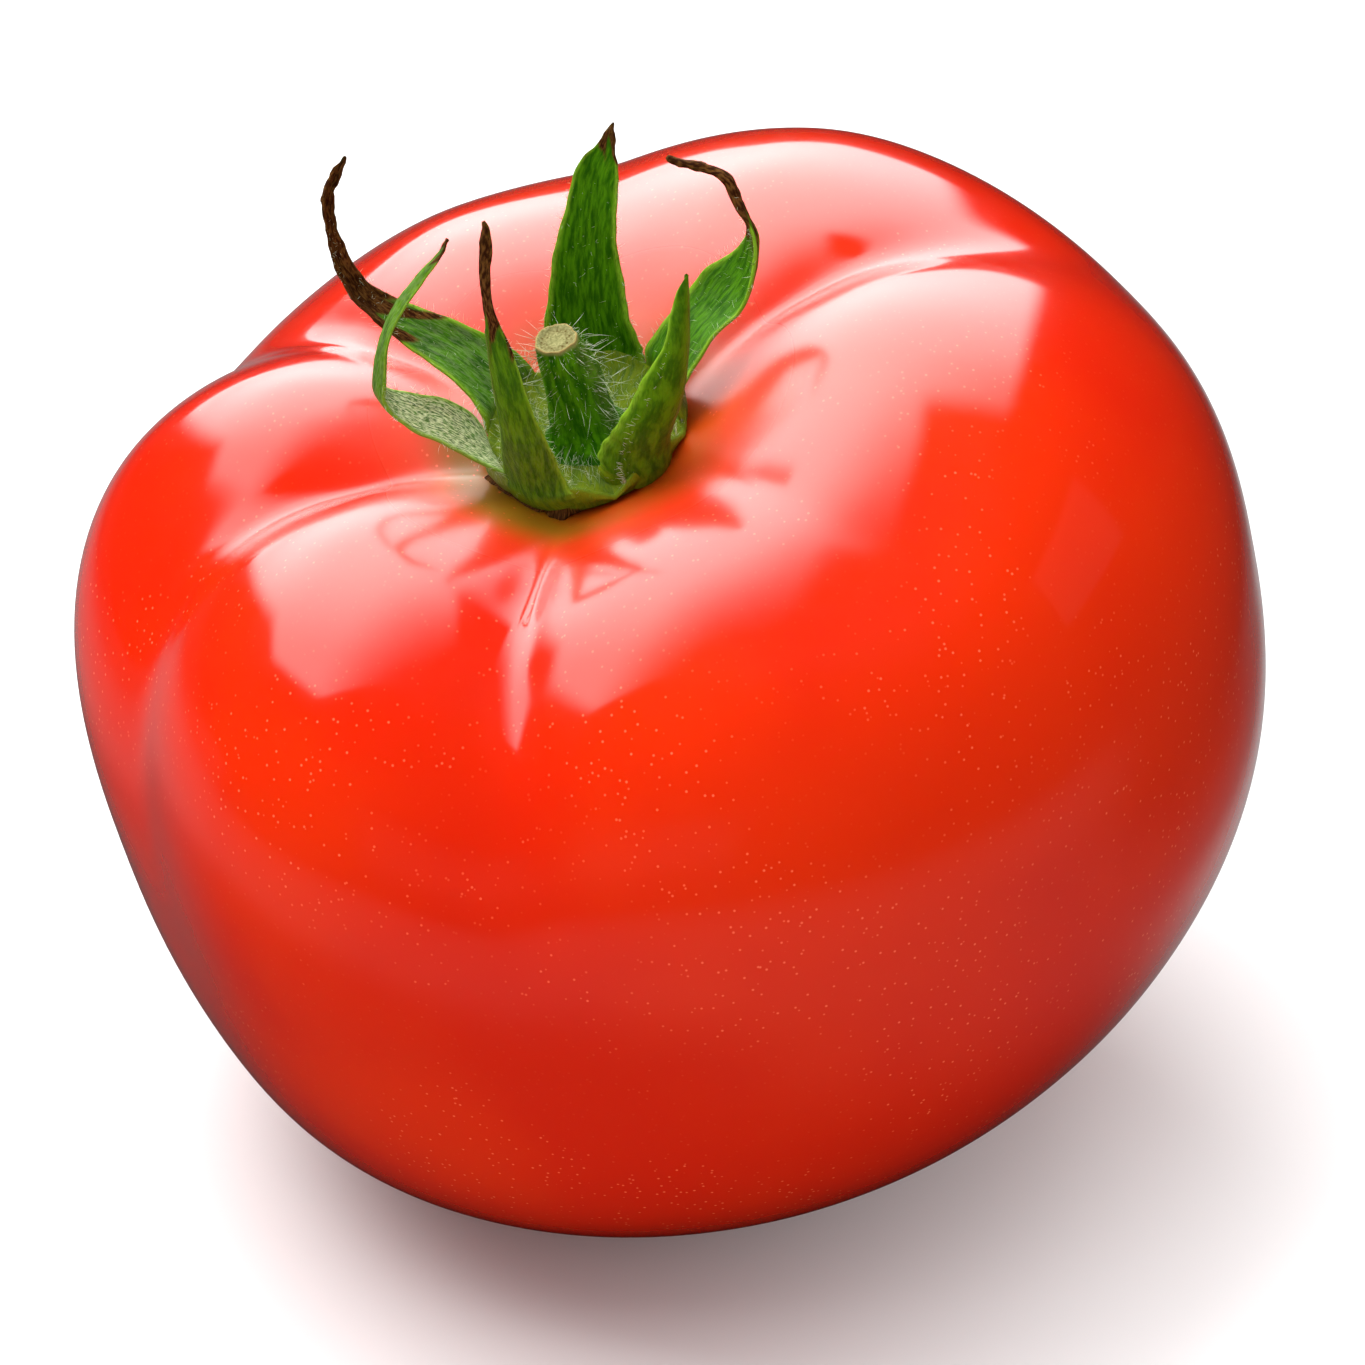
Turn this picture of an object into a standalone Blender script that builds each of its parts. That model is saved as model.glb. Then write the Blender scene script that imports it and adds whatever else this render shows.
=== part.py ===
"""A ripe ribbed tomato with its green calyx and a cut stem stub, standing on a small flat spot.

World frame: metres, +Z up, z = 0 is the surface that the fruit stands on, and the origin is in the
middle of the flat spot.
Fruit frame: +Z along the stem axis, the origin in the middle of the fruit. The stem axis leans towards
the front left, because the shoulders behind it and to its right are the taller ones. Every piece is
modelled in the fruit frame and parented to one empty that holds it.
"""

import math

import bmesh
import bpy
from mathutils import Matrix, Vector

MM = 0.001

# ---------------------------------------------------------------- fruit
FRUIT_RADIUS = 42.2 * MM
STEM_HALF_HEIGHT = 33.5 * MM
BLOSSOM_HALF_HEIGHT = 36.8 * MM
STEM_AXIS_LEAN = (-0.208, -0.200)
FRUIT_CENTRE = Vector((0.9, 0.0, 38.5)) * MM
SIDE_FULLNESS = 0.88
END_FULLNESS = 0.76
TAPER = 0.03
DIMPLE_DEPTH = 11.0 * MM
DIMPLE_RADIUS = 14.0 * MM
SCAR_DEPTH = 1.2 * MM
SCAR_RADIUS = 5.0 * MM
FRUIT_SEGMENTS = 72
FRUIT_RINGS = 36

# Broad swellings of the body: number of waves round the fruit, size, azimuth of the first crest.
SWELLINGS = (
    (1, 0.023, 37),
    (2, 0.030, -5),
    (3, 0.012, 11),
)
# Creases: azimuth at the shoulder and at the side in degrees, depth as a share of the radius,
# half width in degrees, polar angle in degrees where it has faded out.
CREASES = (
    (-104, -104, 0.085, 34, 120),
    (-172, -154, 0.095, 28, 125),
    (141, 146, 0.090, 30, 110),
    (86, 92, 0.050, 34, 90),
    (24, 22, 0.080, 32, 90),
    (-45, -45, 0.020, 30, 60),
)
# Bulges and hollows: azimuth and polar angle of the middle in degrees, height as a share of the
# radius, spread in degrees. The last one is the foot that the fruit stands on.
BULGES = (
    (172, 60, 0.012, 26),
    (118, 50, -0.055, 24),
    (-20, 125, -0.026, 30),
    (55, 48, 0.026, 34),
    (-150, 128, 0.022, 26),
    (30, 176, 0.070, 21),
)

# ---------------------------------------------------------------- calyx and stem, in millimetres
# Half outline of the shallow cup, from its top middle over the rim to its bottom middle.
CUP_OUTLINE = (
    (0.0, 24.9), (3.4, 24.9), (5.4, 25.4), (6.6, 26.3), (7.2, 26.5),
    (7.5, 26.2), (7.2, 25.7), (5.5, 24.6), (3.5, 23.7), (0.0, 23.1),
)
CUP_STEPS = 32
# Stem stub: points on its middle line with the radius there.
STEM_LINE = (
    (0.1, 0.0, 25.2, 2.75),
    (0.0, 0.0, 26.6, 2.35),
    (0.1, -0.1, 28.6, 2.15),
    (0.2, -0.2, 31.2, 2.05),
    (0.0, -0.4, 33.4, 1.75),
    (-0.1, -0.5, 34.6, 1.55),
)
STEM_SIDES = 16
# Sepals: points on the midrib with the width there, from the base at the cup's rim to the tip.
SEPALS = {
    "sepal_back": (
        (1.2, 7.3, 27.0, 6.6), (1.5, 8.0, 30.0, 6.0), (2.3, 8.9, 33.5, 4.8), (3.4, 9.7, 37.0, 3.9),
        (4.6, 10.4, 39.8, 3.2), (5.6, 10.8, 41.5, 1.6), (6.3, 11.2, 43.2, 0.6),
    ),
    "sepal_back_right": (
        (6.9, 2.4, 27.1, 6.2), (9.0, 3.3, 29.2, 5.8), (11.5, 4.4, 30.8, 5.6), (13.6, 5.0, 32.8, 4.4),
        (14.6, 5.6, 35.2, 2.0), (14.2, 6.5, 37.2, 1.1), (13.7, 7.5, 39.4, 0.9),
        (12.4, 8.0, 40.4, 0.8), (9.8, 8.0, 41.8, 0.6),
    ),
    "sepal_front_right": (
        (4.5, -6.0, 27.2, 5.4), (5.8, -6.5, 29.6, 4.4), (7.8, -6.2, 32.6, 3.2), (9.2, -5.6, 36.0, 2.2),
        (10.0, -5.0, 39.0, 1.2), (10.6, -4.6, 41.7, 0.6),
    ),
    "sepal_front_left": (
        (-3.8, -6.3, 27.0, 4.6), (-3.7, -7.0, 30.5, 3.8), (-3.5, -6.9, 35.0, 2.9), (-3.4, -6.1, 39.0, 1.9),
        (-3.3, -5.3, 42.5, 1.1), (-2.8, -4.6, 46.0, 0.8), (-1.9, -4.0, 49.2, 0.6),
    ),
    "sepal_left": (
        (-6.9, -2.6, 27.2, 3.4), (-9.0, -3.4, 31.2, 2.5), (-11.0, -4.2, 33.7, 2.3), (-12.4, -4.6, 36.0, 1.8),
        (-12.1, -4.4, 38.2, 1.5), (-11.0, -3.8, 40.7, 1.4), (-9.5, -3.0, 42.6, 1.3),
        (-7.8, -2.2, 43.9, 1.1), (-6.1, -1.7, 45.1, 0.8), (-5.2, -1.7, 46.4, 0.6),
    ),
    "sepal_back_left": (
        (-5.9, 4.4, 27.1, 4.8), (-7.2, 5.0, 29.0, 4.2), (-9.1, 6.0, 30.6, 3.6), (-11.7, 7.0, 32.5, 2.7),
        (-13.9, 7.6, 35.0, 2.0), (-14.7, 7.8, 38.0, 1.2), (-14.6, 7.8, 41.5, 0.8),
        (-14.1, 7.6, 44.5, 0.7), (-13.2, 7.4, 46.3, 0.6), (-11.9, 7.2, 48.0, 0.6),
    ),
}
SEPAL_THICKNESS = 0.6
SEPAL_CUPPING = 0.28
SEPAL_COLUMNS = 4
ROWS_PER_POINT = 2

# ---------------------------------------------------------------- colours: red, green, blue, roughness
SKIN = (0.76, 0.030, 0.006, 0.15)
CALYX_GREEN = (0.070, 0.190, 0.020, 0.60)
STEM_GREEN = (0.110, 0.240, 0.035, 0.55)


def smooth(value):
    value = min(max(value, 0.0), 1.0)
    return value * value * (3 - 2 * value)


def turn_between(azimuth, other):
    """Smallest turn from one azimuth to the other, in radians."""
    return (azimuth - other + math.pi) % (2 * math.pi) - math.pi


def direction(azimuth, polar):
    return Vector((math.sin(polar) * math.cos(azimuth), math.sin(polar) * math.sin(azimuth), math.cos(polar)))


def crease_depth(azimuth, polar):
    """How far the creases draw the skin in, as a share of the radius."""
    total = 0.0
    for shoulder, side, depth, half_width, reach in CREASES:
        middle = math.radians(shoulder) + math.radians(side - shoulder) * smooth((polar - 0.6) / 1.2)
        off = abs(turn_between(azimuth, middle))
        rounding = 0.04 + 0.10 * polar
        off = math.sqrt(off * off + rounding * rounding) - rounding
        across = max(0.0, 1 - off / math.radians(half_width)) ** 2
        along = smooth(polar / 0.45) * (1 - smooth((polar - 0.6) / (math.radians(reach) - 0.6)))
        total += depth * across * along
    return total


def bulge_height(azimuth, polar):
    """How far the local bulges push the skin out, as a share of the radius."""
    here = direction(azimuth, polar)
    total = 0.0
    for middle_azimuth, middle_polar, height, spread in BULGES:
        middle = direction(math.radians(middle_azimuth), math.radians(middle_polar))
        off = here.angle(middle, 0.0) / math.radians(spread)
        total += height * math.exp(-off * off)
    return total


def fruit_point(azimuth, polar):
    """A point of the skin in the fruit frame."""
    scale = 1 - crease_depth(azimuth, polar) + bulge_height(azimuth, polar)
    for waves, size, crest in SWELLINGS:
        scale += size * math.sin(polar) * math.cos(waves * (azimuth - math.radians(crest)))
    height = STEM_HALF_HEIGHT if polar < math.pi / 2 else BLOSSOM_HALF_HEIGHT
    across = FRUIT_RADIUS * math.sin(polar) ** SIDE_FULLNESS * (1 + TAPER * math.cos(polar)) * scale
    along = height * math.copysign(abs(math.cos(polar)) ** END_FULLNESS, math.cos(polar)) * scale
    if polar < math.pi / 2:
        along -= DIMPLE_DEPTH * math.exp(-((across / DIMPLE_RADIUS) ** 2))
    else:
        along += SCAR_DEPTH * math.exp(-((across / SCAR_RADIUS) ** 2))
    return Vector((across * math.cos(azimuth), across * math.sin(azimuth), along))


def fruit_frame():
    """Matrix from the fruit frame to the world."""
    lean_x, lean_y = STEM_AXIS_LEAN
    axis = Vector((lean_x, lean_y, math.sqrt(1 - lean_x ** 2 - lean_y ** 2)))
    right = Vector((0, 1, 0)).cross(axis).normalized()
    ahead = axis.cross(right)
    turn = Matrix((right, ahead, axis)).transposed().to_4x4()
    return Matrix.Translation(FRUIT_CENTRE) @ turn


def curve_point(points, place):
    """A smooth curve through the points; place runs from 0 to the number of spans."""
    last = len(points) - 1
    span = min(int(place), last - 1)
    part = place - span
    before, start, end, after = (
        Vector(points[min(max(span + step, 0), last)]) for step in (-1, 0, 1, 2)
    )
    return 0.5 * (
        2 * start
        + (end - before) * part
        + (2 * before - 5 * start + 4 * end - after) * part ** 2
        + (3 * start - before - 3 * end + after) * part ** 3
    )


def material(name, finish):
    red, green, blue, roughness = finish
    made = bpy.data.materials.new(name)
    made.use_nodes = True
    shader = made.node_tree.nodes["Principled BSDF"]
    shader.inputs["Base Color"].default_value = (red, green, blue, 1)
    shader.inputs["Roughness"].default_value = roughness
    shader.inputs["Metallic"].default_value = 0
    return made


def add_piece(name, data, finish, parent):
    """One named object in the tomato's collection, placed in the fruit frame."""
    piece = bpy.data.objects.new(name, data)
    bpy.data.collections["tomato"].objects.link(piece)
    piece.parent = parent
    data.materials.append(material(name, finish))
    return piece


def make_fruit(axes):
    build = bmesh.new()
    bmesh.ops.create_uvsphere(build, u_segments=FRUIT_SEGMENTS, v_segments=FRUIT_RINGS, radius=1)
    for vertex in build.verts:
        polar = math.acos(max(-1.0, min(1.0, vertex.co.z)))
        azimuth = math.atan2(vertex.co.y, vertex.co.x)
        vertex.co = fruit_point(azimuth, polar)
    to_fruit = fruit_frame().inverted()
    cut = bmesh.ops.bisect_plane(
        build,
        geom=build.verts[:] + build.edges[:] + build.faces[:],
        plane_co=to_fruit @ Vector((0, 0, 0)),
        plane_no=to_fruit.to_3x3() @ Vector((0, 0, 1)),
        clear_inner=True,
    )
    rim = [edge for edge in cut["geom_cut"] if isinstance(edge, bmesh.types.BMEdge)]
    bmesh.ops.edgeloop_fill(build, edges=rim)
    bmesh.ops.recalc_face_normals(build, faces=build.faces[:])
    mesh = bpy.data.meshes.new("fruit")
    build.to_mesh(mesh)
    build.free()
    mesh.shade_smooth()
    mesh.set_sharp_from_angle(angle=math.radians(30))
    return add_piece("fruit", mesh, SKIN, axes)


def make_calyx_cup(axes):
    """The shallow cup that the sepals grow from: a turned outline."""
    mesh = bpy.data.meshes.new("calyx_cup")
    build = bmesh.new()
    outline = [build.verts.new(Vector((radius, 0, height)) * MM) for radius, height in CUP_OUTLINE]
    for one, other in zip(outline, outline[1:]):
        build.edges.new((one, other))
    build.to_mesh(mesh)
    build.free()
    cup = add_piece("calyx_cup", mesh, CALYX_GREEN, axes)
    turning = cup.modifiers.new("turning", "SCREW")
    turning.steps = CUP_STEPS
    turning.render_steps = CUP_STEPS
    turning.use_merge_vertices = True
    turning.merge_threshold = 0.00005
    turning.use_smooth_shade = True
    return cup


def make_stem(axes):
    """The cut stub of the stem: a tapering tube."""
    line = bpy.data.curves.new("stem_stub", "CURVE")
    line.dimensions = "3D"
    line.bevel_depth = MM
    line.bevel_resolution = STEM_SIDES // 4 - 1
    line.use_fill_caps = True
    spline = line.splines.new("POLY")
    spline.points.add(len(STEM_LINE) - 1)
    for point, (x, y, z, radius) in zip(spline.points, STEM_LINE):
        point.co = (x * MM, y * MM, z * MM, 1)
        point.radius = radius
    return add_piece("stem_stub", line, STEM_GREEN, axes)


def sepal_point(points, place, side):
    """A point of a sepal's middle surface in millimetres; side runs from -1 to 1 across the blade."""
    step = 0.05
    ends = (max(place - step, 0.0), min(place + step, len(points) - 1.0))
    run = (curve_point(points, ends[1]) - curve_point(points, ends[0])).to_3d().normalized()
    here = curve_point(points, place)
    middle = here.to_3d()
    half_width = here.w / 2
    inward = Vector((-middle.x, -middle.y, 0)).normalized()
    face = (inward - run * inward.dot(run)).normalized()
    across = run.cross(face)
    return middle + across * side * half_width + face * SEPAL_CUPPING * side * side * half_width


def make_sepal(name, points, axes):
    """One sepal: a grid bent along its midrib, narrowed to its outline and given a thickness."""
    spans = len(points) - 1
    build = bmesh.new()
    bmesh.ops.create_grid(build, x_segments=SEPAL_COLUMNS, y_segments=spans * ROWS_PER_POINT, size=1)
    for vertex in build.verts:
        vertex.co = sepal_point(points, (vertex.co.y + 1) / 2 * spans, vertex.co.x) * MM
    mesh = bpy.data.meshes.new(name)
    build.to_mesh(mesh)
    build.free()
    mesh.shade_smooth()
    sepal = add_piece(name, mesh, CALYX_GREEN, axes)
    blade = sepal.modifiers.new("blade", "SOLIDIFY")
    blade.thickness = SEPAL_THICKNESS * MM
    blade.offset = 0
    return sepal


def main():
    for old in list(bpy.data.objects):
        bpy.data.objects.remove(old)
    tomato = bpy.data.collections.new("tomato")
    bpy.context.scene.collection.children.link(tomato)
    axes = bpy.data.objects.new("fruit_axes", None)
    axes.empty_display_size = FRUIT_RADIUS
    tomato.objects.link(axes)
    axes.matrix_world = fruit_frame()
    make_fruit(axes)
    make_calyx_cup(axes)
    make_stem(axes)
    for name, points in SEPALS.items():
        make_sepal(name, points, axes)


main()
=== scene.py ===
"""Looks for the ribbed tomato: its skin, calyx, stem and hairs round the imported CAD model, and a studio."""

import math

import bpy
import numpy as np
from mathutils import Matrix, Vector, noise


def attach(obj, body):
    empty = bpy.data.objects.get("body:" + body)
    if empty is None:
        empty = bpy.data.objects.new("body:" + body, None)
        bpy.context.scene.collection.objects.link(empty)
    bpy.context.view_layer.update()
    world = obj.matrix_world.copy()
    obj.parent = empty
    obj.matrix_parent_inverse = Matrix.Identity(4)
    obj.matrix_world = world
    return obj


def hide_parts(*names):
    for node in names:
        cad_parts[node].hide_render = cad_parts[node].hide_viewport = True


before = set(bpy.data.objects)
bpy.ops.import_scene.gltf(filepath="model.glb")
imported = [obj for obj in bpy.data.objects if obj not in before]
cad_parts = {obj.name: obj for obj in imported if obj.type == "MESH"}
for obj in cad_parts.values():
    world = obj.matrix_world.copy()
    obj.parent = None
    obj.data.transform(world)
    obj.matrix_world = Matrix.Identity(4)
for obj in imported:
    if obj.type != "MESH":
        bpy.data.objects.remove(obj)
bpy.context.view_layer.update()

MM = 0.001

# ---------------- the fruit's shape, as in the CAD
FRUIT_RADIUS = 42.2 * MM
STEM_HALF_HEIGHT = 33.5 * MM
BLOSSOM_HALF_HEIGHT = 36.8 * MM
STEM_AXIS_LEAN = (-0.208, -0.200)
FRUIT_CENTRE = Vector((0.9, 0.0, 38.5)) * MM
SIDE_FULLNESS = 0.88
END_FULLNESS = 0.76
TAPER = 0.03
DIMPLE_DEPTH = 11.5 * MM
DIMPLE_RADIUS = 14.0 * MM
SCAR_DEPTH = 1.2 * MM
SCAR_RADIUS = 5.0 * MM
# Number of waves round the fruit, size, azimuth of the first crest.
SWELLINGS = (
    (1, 0.023, 37),
    (2, 0.030, -5),
    (3, 0.012, 11),
)
# Azimuth at the shoulder and at the side, depth, half width, polar angle where it has faded out.
CREASES = (
    (-104, -104, 0.085, 34, 120),
    (-172, -154, 0.095, 28, 125),
    (141, 146, 0.090, 30, 110),
    (86, 92, 0.050, 34, 90),
    (24, 22, 0.080, 32, 90),
    (-45, -45, 0.020, 30, 60),
)
# Azimuth and polar angle of the middle, height, spread.
BULGES = (
    (172, 60, 0.012, 26),
    (118, 50, -0.055, 24),
    (-20, 125, -0.026, 30),
    (55, 48, 0.026, 34),
    (-150, 128, 0.022, 26),
    (30, 176, 0.070, 21),
)
# Fine folds that only the looks have: azimuth, depth, half width, polar angle where they have faded out.
FINE_FOLDS = (
    (-107, 0.010, 9, 66),
    (-171, 0.008, 10, 56),
    (23, 0.010, 10, 62),
    (141, 0.006, 12, 50),
)
# Roundness of the bottom of the creases, against 1 in the CAD.
CREASE_SOFTNESS = 0.55
# Polar angles, in radians, from which creases bend to the side and fade, and from which folds fade.
SHOULDER_POLAR = 0.6
FOLD_POLAR = 0.45
# Height of the small lumps of the skin, and their size.
LUMPS = 0.06 * MM
LUMP_SIZE = 7.0 * MM
FRUIT_SEGMENTS = 336
FRUIT_RINGS = 200
FLAT_SOFTNESS = 0.12 * MM

# ---------------- calyx and stem in the fruit frame, in millimetres
CUP_RADIUS = 7.3
CUP_FLOOR = 24.85
# Half outline of the cup, as reach and height: out along its underside, up to its rim and down its inside.
CUP_WALL = (
    (0.0, 23.1), (2.0, 23.2), (3.5, 23.4), (4.8, 23.7), (5.8, 24.0), (6.5, 24.3), (7.0, 24.8), (7.25, 25.4),
    (CUP_RADIUS, 26.3), (7.15, 26.5), (6.85, 26.3), (6.5, 25.8),
    (5.9, 25.3), (5.0, 25.0), (3.6, CUP_FLOOR), (0.0, CUP_FLOOR),
)
# Places in that outline of the rim and of the lower edge, which is dried on one side.
CUP_RIM_ROW = 8
CUP_EDGE_ROW = 5
DRIED_EDGE_AZIMUTH = -138
# Azimuth, depth and half width in degrees of the notches between the sepals.
CUP_NOTCHES = (
    (-76, 1.5, 20),
    (-141, 1.0, 14),
    (172, 1.0, 18),
    (112, 0.9, 18),
    (50, 0.9, 18),
    (-17, 1.2, 20),
)
CUP_ROWS = 64
CUP_STEPS = 180
# Points on the stem's middle line with the radius there.
STEM_LINE = (
    (0.1, 0.0, 24.6, 3.6), (0.1, 0.0, 25.2, 2.95), (0.0, 0.0, 26.3, 2.45), (0.1, -0.1, 28.6, 2.15),
    (0.2, -0.2, 31.2, 2.02), (0.0, -0.4, 33.4, 1.76), (-0.1, -0.5, 34.6, 1.48),
)
STEM_ROWS = 70
STEM_SIDES = 64
STEM_RIDGE = math.radians(-28)
# Rings on the cut: share of its radius, and height over its edge.
CUT_RINGS = (
    (1.02, 0.09), (0.99, 0.15), (0.93, 0.14), (0.86, 0.04), (0.78, -0.06),
    (0.68, -0.10), (0.56, -0.08), (0.42, -0.05), (0.28, -0.12), (0.14, -0.16),
)
# Points on each sepal's midrib with the width there, from its root on the cup to its tip.
SEPALS = {
    "sepal_back": (
        (1.1, 6.6, 24.4, 7.4), (1.2, 7.1, 25.5, 7.4), (1.2, 7.3, 27.0, 7.0), (1.5, 8.0, 30.0, 6.0),
        (2.3, 8.9, 33.5, 4.8), (3.4, 9.7, 37.0, 3.9), (4.6, 10.4, 39.8, 3.2), (5.6, 10.8, 41.5, 1.6),
        (6.3, 11.2, 43.2, 0.6),
    ),
    "sepal_back_right": (
        (6.3, 2.2, 24.4, 7.2), (6.7, 2.3, 25.5, 7.2), (6.9, 2.4, 27.1, 6.8), (9.0, 3.3, 29.2, 5.8),
        (11.5, 4.4, 30.8, 5.6), (13.6, 5.0, 32.8, 4.4), (14.6, 5.6, 35.2, 2.0), (14.2, 6.5, 37.2, 1.1),
        (13.7, 7.5, 39.4, 0.9), (12.4, 8.0, 40.4, 0.8), (9.8, 8.0, 41.8, 0.6),
    ),
    "sepal_front_right": (
        (4.7, -4.8, 24.4, 5.4), (5.0, -5.2, 25.5, 5.3), (5.4, -5.6, 27.2, 5.0), (6.4, -6.2, 29.6, 4.3),
        (7.9, -6.2, 32.6, 3.4), (9.2, -5.6, 36.0, 2.3), (10.0, -5.0, 39.0, 1.2), (10.6, -4.6, 41.7, 0.6),
    ),
    "sepal_front_left": (
        (-3.4, -5.8, 24.4, 6.4), (-3.7, -6.1, 25.5, 6.1), (-3.8, -6.3, 27.0, 5.2), (-3.7, -7.0, 30.5, 3.8),
        (-3.5, -6.9, 35.0, 2.9), (-3.4, -6.1, 39.0, 1.9), (-3.3, -5.3, 42.5, 1.1), (-2.8, -4.6, 46.0, 0.8),
        (-1.9, -4.0, 49.2, 0.6),
    ),
    "sepal_left": (
        (-6.3, -2.3, 24.4, 5.4), (-6.7, -2.5, 25.5, 5.0), (-6.9, -2.6, 27.2, 4.5), (-9.0, -3.4, 31.2, 3.5),
        (-11.0, -4.2, 33.7, 2.8), (-12.4, -4.6, 36.0, 1.9), (-12.1, -4.4, 38.2, 1.7),
        (-11.0, -3.8, 40.7, 1.8), (-9.5, -3.0, 42.6, 1.6), (-7.8, -2.2, 43.9, 1.1),
        (-6.1, -1.7, 45.1, 0.8), (-5.2, -1.7, 46.4, 0.6),
    ),
    "sepal_back_left": (
        (-5.3, 4.0, 24.4, 7.0), (-5.7, 4.3, 25.5, 6.4), (-5.9, 4.4, 27.1, 5.6), (-7.2, 5.0, 29.0, 4.3),
        (-9.1, 6.0, 30.6, 3.6), (-11.7, 7.0, 32.5, 2.7), (-13.9, 7.6, 35.0, 2.0), (-14.7, 7.8, 38.0, 1.2),
        (-14.6, 7.8, 41.5, 0.8), (-14.1, 7.6, 44.5, 0.7), (-13.2, 7.4, 46.3, 0.6), (-11.9, 7.2, 48.0, 0.6),
    ),
}
# For each sepal: where along it the drying starts and how gradual it is, the angle in degrees that it is bent
# through across in its middle and at its tip, its twist low down and at its tip, and how pale it is inside.
SEPAL_HABITS = {
    "sepal_back": (0.88, 0.24, 50, 150, 0, 15, 0.0),
    "sepal_back_right": (0.66, 0.08, 75, 230, 0, 60, 0.03),
    "sepal_front_right": (1.12, 0.20, 110, 200, 0, 0, 0.05),
    "sepal_front_left": (0.70, 0.14, 90, 200, 0, 20, 0.10),
    "sepal_left": (0.93, 0.16, 70, 190, 34, 15, 1.0),
    "sepal_back_left": (0.48, 0.12, 80, 240, 10, 50, 0.12),
}
SEPAL_ROWS = 110
SEPAL_RING = 36
# Half the span along a sepal over which its direction is measured.
NEARBY = 0.004

# ---------------- hairs
HAIR_SEED = 7
# Rings of each hair: share of its length, and share of its radius.
HAIR_RINGS = ((0.0, 1.0), (0.3, 0.85), (0.6, 0.65), (0.85, 0.40), (1.0, 0.12))
HAIR_SIDES = 3
LONG_STEM_HAIRS = 130
SHORT_STEM_HAIRS = 560
HAIRS_PER_SEPAL = 280
CUP_HAIRS = 520
LONG_HAIR_RADIUS = 0.018
SHORT_HAIR_RADIUS = 0.014
CALYX_HAIR_RADIUS = 0.015


def smooth(value):
    """Soft step from 0 to 1."""
    value = np.clip(value, 0.0, 1.0)
    return value * value * (3 - 2 * value)


def turn_between(azimuth, other):
    """Smallest turn from one azimuth to the other, in radians."""
    return (azimuth - other + math.pi) % (2 * math.pi) - math.pi


def direction(azimuth, polar):
    """Unit vector at these angles from the stem axis."""
    reach = np.sin(polar)
    return np.stack((reach * np.cos(azimuth), reach * np.sin(azimuth), np.cos(polar)), axis=-1)


def crease_depth(azimuth, polar):
    """How far the creases draw the skin in, as a share of the radius."""
    total = np.zeros_like(azimuth)
    for shoulder, side, depth, half_width, reach in CREASES:
        sideways = smooth((polar - SHOULDER_POLAR) / 1.2)
        middle = math.radians(shoulder) + math.radians(side - shoulder) * sideways
        rounding = CREASE_SOFTNESS * (0.04 + 0.10 * polar) + 0.14 * (1 - smooth((polar - 0.12) / 0.25))
        off = np.sqrt(turn_between(azimuth, middle) ** 2 + rounding ** 2) - rounding
        across = np.maximum(0.0, 1 - off / math.radians(half_width)) ** 2
        fade = 1 - smooth((polar - SHOULDER_POLAR) / (math.radians(reach) - SHOULDER_POLAR))
        along = smooth(polar / 0.45) * fade
        total += depth * across * along
    return total


def fold_depth(azimuth, polar):
    """How far the fine folds that run out from the calyx draw the skin in, as a share of the radius."""
    total = np.zeros_like(azimuth)
    for middle, depth, half_width, reach in FINE_FOLDS:
        off = np.abs(turn_between(azimuth, math.radians(middle))) / math.radians(half_width)
        across = np.exp(-((off * 1.6) ** 2))
        fade = 1 - smooth((polar - FOLD_POLAR) / (math.radians(reach) - FOLD_POLAR))
        along = smooth((polar - 0.12) / 0.30) * fade
        total += depth * across * along
    return total


def bulge_height(azimuth, polar):
    """How far the local bulges push the skin out, as a share of the radius."""
    here = direction(azimuth, polar)
    total = np.zeros_like(azimuth)
    for middle_azimuth, middle_polar, height, spread in BULGES:
        middle = direction(math.radians(middle_azimuth), math.radians(middle_polar))
        off = np.arccos(np.clip(here @ middle, -1.0, 1.0)) / math.radians(spread)
        total += height * np.exp(-off * off)
    return total


def fruit_points(azimuth, polar):
    """Points of the skin in the fruit frame, one row for each pair of angles."""
    scale = 1 - crease_depth(azimuth, polar) + bulge_height(azimuth, polar)
    scale -= fold_depth(azimuth, polar)
    for waves, size, crest in SWELLINGS:
        scale += size * np.sin(polar) * np.cos(waves * (azimuth - math.radians(crest)))
    height = np.where(polar < math.pi / 2, STEM_HALF_HEIGHT, BLOSSOM_HALF_HEIGHT)
    lean = np.cos(polar)
    across = FRUIT_RADIUS * np.abs(np.sin(polar)) ** SIDE_FULLNESS * (1 + TAPER * lean) * scale
    along = height * np.sign(lean) * np.abs(lean) ** END_FULLNESS * scale
    dimple = DIMPLE_DEPTH * np.exp(-((across / DIMPLE_RADIUS) ** 2))
    scar = SCAR_DEPTH * np.exp(-((across / SCAR_RADIUS) ** 2))
    along = np.where(polar < math.pi / 2, along - dimple, along + scar)
    return np.stack((across * np.cos(azimuth), across * np.sin(azimuth), along), axis=-1)


def fruit_frame():
    """Matrix from the fruit frame to the world."""
    lean_x, lean_y = STEM_AXIS_LEAN
    axis = Vector((lean_x, lean_y, math.sqrt(1 - lean_x ** 2 - lean_y ** 2)))
    right = Vector((0, 1, 0)).cross(axis).normalized()
    ahead = axis.cross(right)
    turn = Matrix((right, ahead, axis)).transposed().to_4x4()
    return Matrix.Translation(FRUIT_CENTRE) @ turn


TO_WORLD = fruit_frame()


def in_world(points):
    """Fruit-frame points as world points."""
    matrix = np.array(TO_WORLD)
    return points @ matrix[:3, :3].T + matrix[:3, 3]


# ---------------- mesh helpers
def set_attribute(mesh, name, values):
    """A number or a vector on each point of the mesh, for its material."""
    values = np.asarray(values, dtype=np.float32)
    if values.ndim == 1:
        mesh.attributes.new(name, "FLOAT", "POINT").data.foreach_set("value", values)
    else:
        mesh.attributes.new(name, "FLOAT_VECTOR", "POINT").data.foreach_set("vector", values.ravel())


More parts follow.
